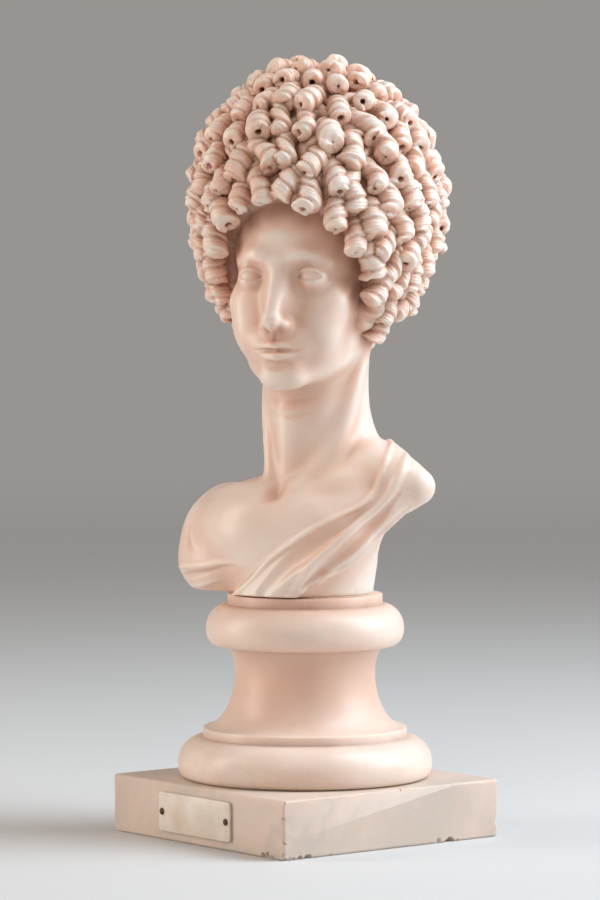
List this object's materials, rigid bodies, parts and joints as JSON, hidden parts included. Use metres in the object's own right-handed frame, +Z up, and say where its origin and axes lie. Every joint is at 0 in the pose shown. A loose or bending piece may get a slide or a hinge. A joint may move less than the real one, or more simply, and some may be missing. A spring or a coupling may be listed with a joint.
{
  "type": "marble bust",
  "caption": "Life-size marble bust with a tall dome of drilled curls and a draped mantle, pinned on a turned round socle and a square plinth with a bare label plate.",
  "frame": {"origin": "middle of the plinth's underside, which rests on the floor, table or pedestal", "axes": "+Z up along the socle's axis; -Y out of the plinth face that carries the label plate; +X to that face's right"},
  "size_m": [0.2826, 0.2792, 0.7664],
  "materials": {
    "bust_marble": "satin",
    "white_marble": "satin",
    "plinth_marble": "matte",
    "lime_mortar": "matte",
    "dowel_iron": "matte",
    "pin_iron": "satin",
    "poured_lead": "matte",
    "label_sheet": "gloss",
    "plug_wood": "matte"
  },
  "bodies": {
    "root": {"plinth": "plinth_marble", "socle_dowel": "dowel_iron", "socle_dowel_lead_lower": "poured_lead", "socle_dowel_lead_upper": "poured_lead", "socle_bed": "lime_mortar", "socle": "white_marble", "bust_dowel": "dowel_iron", "bust_dowel_lead_lower": "poured_lead", "bust_dowel_lead_upper": "poured_lead", "bust_bed": "lime_mortar", "bust": "bust_marble", "label_plate": "label_sheet", "label_pin_left": "pin_iron", "label_pin_right": "pin_iron", "label_plug_left": "plug_wood", "label_plug_right": "plug_wood"}
  },
  "joints": []
}
